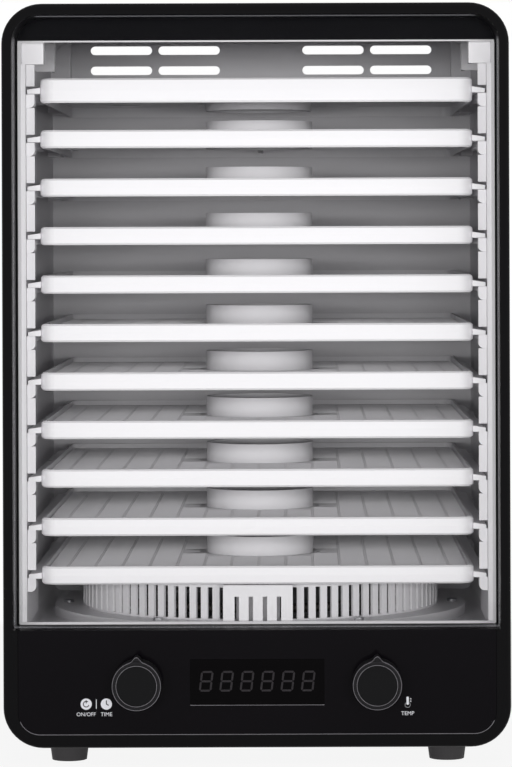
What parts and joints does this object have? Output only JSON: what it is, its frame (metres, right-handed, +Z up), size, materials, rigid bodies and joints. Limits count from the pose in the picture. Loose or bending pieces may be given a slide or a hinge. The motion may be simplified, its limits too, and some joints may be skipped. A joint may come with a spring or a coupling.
{
  "type": "food dehydrator",
  "caption": "Upright cabinet food dehydrator with a drop-down clear door, a stack of sliding trays with central air collars, a slotted drum fan cover, a glossy control panel and two knobs.",
  "frame": {"origin": "middle of the footprint, on the surface the feet stand on", "axes": "+X to the right seen from the front, +Y to the back, +Z up; the door faces -Y"},
  "size_m": [0.34, 0.376, 0.5105],
  "materials": {
    "case_black": "fine matte black",
    "bezel_black": "satin black",
    "panel_gloss": "piano black",
    "window_smoke": "smoked and glossy",
    "display_grey": "dull dark grey",
    "chamber_white": "smooth pale grey",
    "fan_plastic": "moulded grey",
    "motor_metal": "grey paint",
    "steel_sheet": "zinc-plated sheet",
    "heater_tube": "dark oxide",
    "board_green": "solder mask",
    "knob_black": "satin black with polished edges",
    "steel_parts": "plated",
    "encoder_black": "moulded black",
    "plunger_white": "moulded white",
    "foot_rubber": "soft dark rubber",
    "door_clear": "clear and polished",
    "hinge_black": "moulded black",
    "tray_white": "smooth white",
    "grid_white": "smooth white grid"
  },
  "bodies": {
    "cabinet": {"outer_case": "case_black", "front_bezel": "bezel_black", "door_header": "panel_gloss", "rear_cover": "case_black", "base_pan": "steel_sheet", "inner_liner": "chamber_white", "rack_left": "chamber_white", "rack_right": "chamber_white", "rear_ledges": "chamber_white", "top_guides": "chamber_white", "fan_cover": "chamber_white", "sensor_housing": "chamber_white", "fan_motor": "motor_metal", "motor_bracket": "steel_sheet", "heater_ring": "heater_tube", "heater_frame": "steel_sheet", "control_panel": "panel_gloss", "display_window": "window_smoke", "display_module": "display_grey", "control_board": "board_green", "power_board": "board_green", "time_encoder": "encoder_black", "temp_encoder": "encoder_black", "foot_front_left": "foot_rubber", "foot_front_right": "foot_rubber", "foot_rear_left": "foot_rubber", "foot_rear_right": "foot_rubber", "foot_screws": "steel_parts", "cover_screws": "steel_parts", "rear_screws": "steel_parts", "cord_gland": "foot_rubber"},
    "door": {"door_pane": "door_clear", "door_hinges": "hinge_black"},
    "fan": {"fan_rotor": "fan_plastic"},
    "time_switch": {"time_plunger": "plunger_white"},
    "time_dial": {"time_knob": "knob_black", "time_shaft": "steel_parts"},
    "temp_dial": {"temp_knob": "knob_black", "temp_shaft": "steel_parts"},
    "tray_01_body": {"tray_01": "tray_white"},
    "tray_02_body": {"tray_02": "tray_white", "tray_grid_02": "grid_white"},
    "tray_03_body": {"tray_03": "tray_white", "tray_grid_03": "grid_white"},
    "tray_04_body": {"tray_04": "tray_white", "tray_grid_04": "grid_white"},
    "tray_05_body": {"tray_05": "tray_white", "tray_grid_05": "grid_white"},
    "tray_06_body": {"tray_06": "tray_white", "tray_grid_06": "grid_white"},
    "tray_07_body": {"tray_07": "tray_white", "tray_grid_07": "grid_white"},
    "tray_08_body": {"tray_08": "tray_white", "tray_grid_08": "grid_white"},
    "tray_09_body": {"tray_09": "tray_white", "tray_grid_09": "grid_white"},
    "tray_10_body": {"tray_10": "tray_white", "tray_grid_10": "grid_white"},
    "tray_11_body": {"tray_11": "tray_white", "tray_grid_11": "grid_white"}
  },
  "joints": [
    {"name": "door_hinge", "type": "hinge", "parent": "cabinet", "child": "door", "pos_m": [0, -0.1645, 0.097], "axis": [1, 0, 0], "range_deg": [0, 90]},
    {"name": "fan_spin", "type": "hinge", "parent": "cabinet", "child": "fan", "pos_m": [0, 0.02, 0.09], "axis": [0, 0, 1], "continuous": true},
    {"name": "time_press", "type": "slide", "parent": "cabinet", "child": "time_switch", "axis": [0, 1, 0], "range_m": [0, 0.0012], "stiffness_N_per_m": 2500, "springref_m": -0.0006},
    {"name": "time_turn", "type": "hinge", "parent": "time_switch", "child": "time_dial", "pos_m": [-0.08, -0.169, 0.0558], "axis": [0, 1, 0], "continuous": true},
    {"name": "temp_turn", "type": "hinge", "parent": "cabinet", "child": "temp_dial", "pos_m": [0.08, -0.169, 0.0558], "axis": [0, 1, 0], "continuous": true},
    {"name": "tray_01_slide", "type": "slide", "parent": "cabinet", "child": "tray_01_body", "axis": [0, -1, 0], "range_m": [0, 0.252]},
    {"name": "tray_02_slide", "type": "slide", "parent": "cabinet", "child": "tray_02_body", "axis": [0, -1, 0], "range_m": [0, 0.252]},
    {"name": "tray_03_slide", "type": "slide", "parent": "cabinet", "child": "tray_03_body", "axis": [0, -1, 0], "range_m": [0, 0.252]},
    {"name": "tray_04_slide", "type": "slide", "parent": "cabinet", "child": "tray_04_body", "axis": [0, -1, 0], "range_m": [0, 0.252]},
    {"name": "tray_05_slide", "type": "slide", "parent": "cabinet", "child": "tray_05_body", "axis": [0, -1, 0], "range_m": [0, 0.252]},
    {"name": "tray_06_slide", "type": "slide", "parent": "cabinet", "child": "tray_06_body", "axis": [0, -1, 0], "range_m": [0, 0.252]},
    {"name": "tray_07_slide", "type": "slide", "parent": "cabinet", "child": "tray_07_body", "axis": [0, -1, 0], "range_m": [0, 0.252]},
    {"name": "tray_08_slide", "type": "slide", "parent": "cabinet", "child": "tray_08_body", "axis": [0, -1, 0], "range_m": [0, 0.252]},
    {"name": "tray_09_slide", "type": "slide", "parent": "cabinet", "child": "tray_09_body", "axis": [0, -1, 0], "range_m": [0, 0.221]},
    {"name": "tray_10_slide", "type": "slide", "parent": "cabinet", "child": "tray_10_body", "axis": [0, -1, 0], "range_m": [0, 0.158]},
    {"name": "tray_11_slide", "type": "slide", "parent": "cabinet", "child": "tray_11_body", "axis": [0, -1, 0], "range_m": [0, 0.092]}
  ],
  "couplings": [
    {"joint": "tray_01_slide", "follows": "door_hinge", "m_per_rad": 0.16},
    {"joint": "tray_02_slide", "follows": "door_hinge", "m_per_rad": 0.16},
    {"joint": "tray_03_slide", "follows": "door_hinge", "m_per_rad": 0.16},
    {"joint": "tray_04_slide", "follows": "door_hinge", "m_per_rad": 0.16},
    {"joint": "tray_05_slide", "follows": "door_hinge", "m_per_rad": 0.16},
    {"joint": "tray_06_slide", "follows": "door_hinge", "m_per_rad": 0.16},
    {"joint": "tray_07_slide", "follows": "door_hinge", "m_per_rad": 0.16},
    {"joint": "tray_08_slide", "follows": "door_hinge", "m_per_rad": 0.16},
    {"joint": "tray_09_slide", "follows": "door_hinge", "m_per_rad": 0.14},
    {"joint": "tray_10_slide", "follows": "door_hinge", "m_per_rad": 0.1},
    {"joint": "tray_11_slide", "follows": "door_hinge", "m_per_rad": 0.058}
  ]
}
